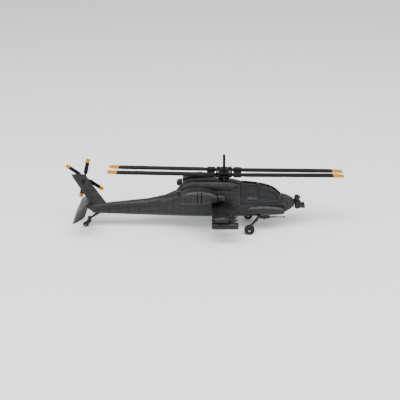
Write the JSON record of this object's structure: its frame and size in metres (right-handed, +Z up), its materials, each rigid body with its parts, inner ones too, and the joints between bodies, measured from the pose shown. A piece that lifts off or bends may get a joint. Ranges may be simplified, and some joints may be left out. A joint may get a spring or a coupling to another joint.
{
  "type": "helicopter scale model",
  "caption": "Die-cast scale model of a two-seat attack helicopter with folding rotor blades, armed stub wings, a tilting stabilator, turning sights and gun, and a display stand socket.",
  "frame": {"origin": "on the ground under the middle of the model's overall box; the main rotor mast stands 24.2 mm ahead of it", "axes": "+X to the nose, +Y to port, +Z up; the wheels stand on z = 0"},
  "size_m": [0.3147, 0.095, 0.0932],
  "materials": {
    "body_paint": "satin charcoal enamel on die-cast zinc",
    "body_moulding": "satin charcoal moulded plastic",
    "canopy_smoke": "smoked clear plastic",
    "black_plastic": "black moulded plastic",
    "rotor_black": "semi-gloss black moulded plastic",
    "tip_yellow": "yellow painted band at the blade tips",
    "tyre_rubber": "black rubber",
    "pin_steel": "bright steel"
  },
  "bodies": {
    "airframe": {"fuselage_left_shell": "body_paint", "fuselage_right_shell": "body_paint", "rotor_deck_cowling": "body_moulding", "canopy_frame": "body_moulding", "canopy_glass": "canopy_smoke", "stand_socket": "black_plastic", "cockpit_tub": "black_plastic", "seat_front": "black_plastic", "seat_rear": "black_plastic", "instrument_panel_front": "black_plastic", "instrument_panel_rear": "black_plastic", "tail_strut": "black_plastic", "sight_bracket": "black_plastic", "engine_nacelle_left": "body_moulding", "nose_gearbox_left": "body_moulding", "exhaust_box_left": "body_moulding", "avionics_bay_left": "body_moulding", "stub_wing_left": "body_moulding", "rocket_pod_left": "black_plastic", "missile_rack_left": "black_plastic", "main_gear_leg_left": "black_plastic", "main_axle_left": "pin_steel", "engine_nacelle_right": "body_moulding", "nose_gearbox_right": "body_moulding", "exhaust_box_right": "body_moulding", "avionics_bay_right": "body_moulding", "stub_wing_right": "body_moulding", "rocket_pod_right": "black_plastic", "missile_rack_right": "black_plastic", "main_gear_leg_right": "black_plastic", "main_axle_right": "pin_steel", "screw_front": "pin_steel", "screw_rear": "pin_steel", "stabilator_hinge_pin": "pin_steel"},
    "main_rotor": {"rotor_shaft": "pin_steel", "shaft_retainer": "black_plastic", "swashplate": "rotor_black", "rotor_hub": "rotor_black", "air_data_mast": "rotor_black", "blade_pin_left_front": "pin_steel", "blade_pin_right_front": "pin_steel", "blade_pin_left_rear": "pin_steel", "blade_pin_right_rear": "pin_steel"},
    "blade_left_front": {"rotor_blade_left_front": "rotor_black"},
    "blade_right_front": {"rotor_blade_right_front": "rotor_black"},
    "blade_left_rear": {"rotor_blade_left_rear": "rotor_black"},
    "blade_right_rear": {"rotor_blade_right_rear": "rotor_black"},
    "tail_rotor": {"tail_rotor_shaft": "pin_steel", "tail_rotor_inner_pair": "rotor_black", "tail_rotor_outer_pair": "rotor_black"},
    "wheel_left": {"main_wheel_left": "tyre_rubber"},
    "wheel_right": {"main_wheel_right": "tyre_rubber"},
    "castor": {"tail_fork": "black_plastic", "tail_axle": "pin_steel"},
    "rear_wheel": {"tail_wheel": "tyre_rubber"},
    "gun_mount": {"gun_turret": "black_plastic", "chain_gun": "black_plastic"},
    "target_sight": {"target_sight_turret": "black_plastic"},
    "night_sensor": {"night_sensor_turret": "black_plastic"},
    "tailplane": {"stabilator": "body_moulding"}
  },
  "joints": [
    {"name": "rotor_spin", "type": "hinge", "parent": "airframe", "child": "main_rotor", "pos_m": [0.0242, 0, 0.071], "axis": [0, 0, 1], "continuous": true},
    {"name": "fold_left_front", "type": "hinge", "parent": "main_rotor", "child": "blade_left_front", "pos_m": [0.03096, 0.00623, 0.071], "axis": [0, 0, 1], "range_deg": [0, 44.65]},
    {"name": "fold_right_front", "type": "hinge", "parent": "main_rotor", "child": "blade_right_front", "pos_m": [0.03043, -0.00676, 0.071], "axis": [0, 0, 1], "range_deg": [-46.15, 0]},
    {"name": "fold_left_rear", "type": "hinge", "parent": "main_rotor", "child": "blade_left_rear", "pos_m": [0.01797, 0.00676, 0.071], "axis": [0, 0, 1], "range_deg": [-43.9, 0]},
    {"name": "fold_right_rear", "type": "hinge", "parent": "main_rotor", "child": "blade_right_rear", "pos_m": [0.01744, -0.00623, 0.071], "axis": [0, 0, 1], "range_deg": [0, 45.7]},
    {"name": "tail_rotor_spin", "type": "hinge", "parent": "airframe", "child": "tail_rotor", "pos_m": [-0.1362, 0.008, 0.0604], "axis": [0, 1, 0], "continuous": true},
    {"name": "wheel_left_spin", "type": "hinge", "parent": "airframe", "child": "wheel_left", "pos_m": [0.0532, 0.0182, 0.006], "axis": [0, 1, 0], "continuous": true},
    {"name": "wheel_right_spin", "type": "hinge", "parent": "airframe", "child": "wheel_right", "pos_m": [0.0532, -0.0182, 0.006], "axis": [0, 1, 0], "continuous": true},
    {"name": "castor_swivel", "type": "hinge", "parent": "airframe", "child": "castor", "pos_m": [-0.1338, 0, 0.008], "axis": [0, 0, 1], "continuous": true},
    {"name": "rear_wheel_spin", "type": "hinge", "parent": "castor", "child": "rear_wheel", "pos_m": [-0.1388, 0, 0.0033], "axis": [0, 1, 0], "continuous": true},
    {"name": "gun_traverse", "type": "hinge", "parent": "airframe", "child": "gun_mount", "pos_m": [0.0712, 0, 0.0164], "axis": [0, 0, 1], "range_deg": [-86, 86]},
    {"name": "target_sight_turn", "type": "hinge", "parent": "airframe", "child": "target_sight", "pos_m": [0.1088, 0, 0.032], "axis": [0, 0, 1], "range_deg": [-60, 60]},
    {"name": "night_sensor_turn", "type": "hinge", "parent": "airframe", "child": "night_sensor", "pos_m": [0.1076, 0, 0.037], "axis": [0, 0, 1], "range_deg": [-90, 90]},
    {"name": "stabilator_tilt", "type": "hinge", "parent": "airframe", "child": "tailplane", "pos_m": [-0.1339, 0, 0.0294], "axis": [0, 1, 0], "range_deg": [0, 37.5]}
  ]
}
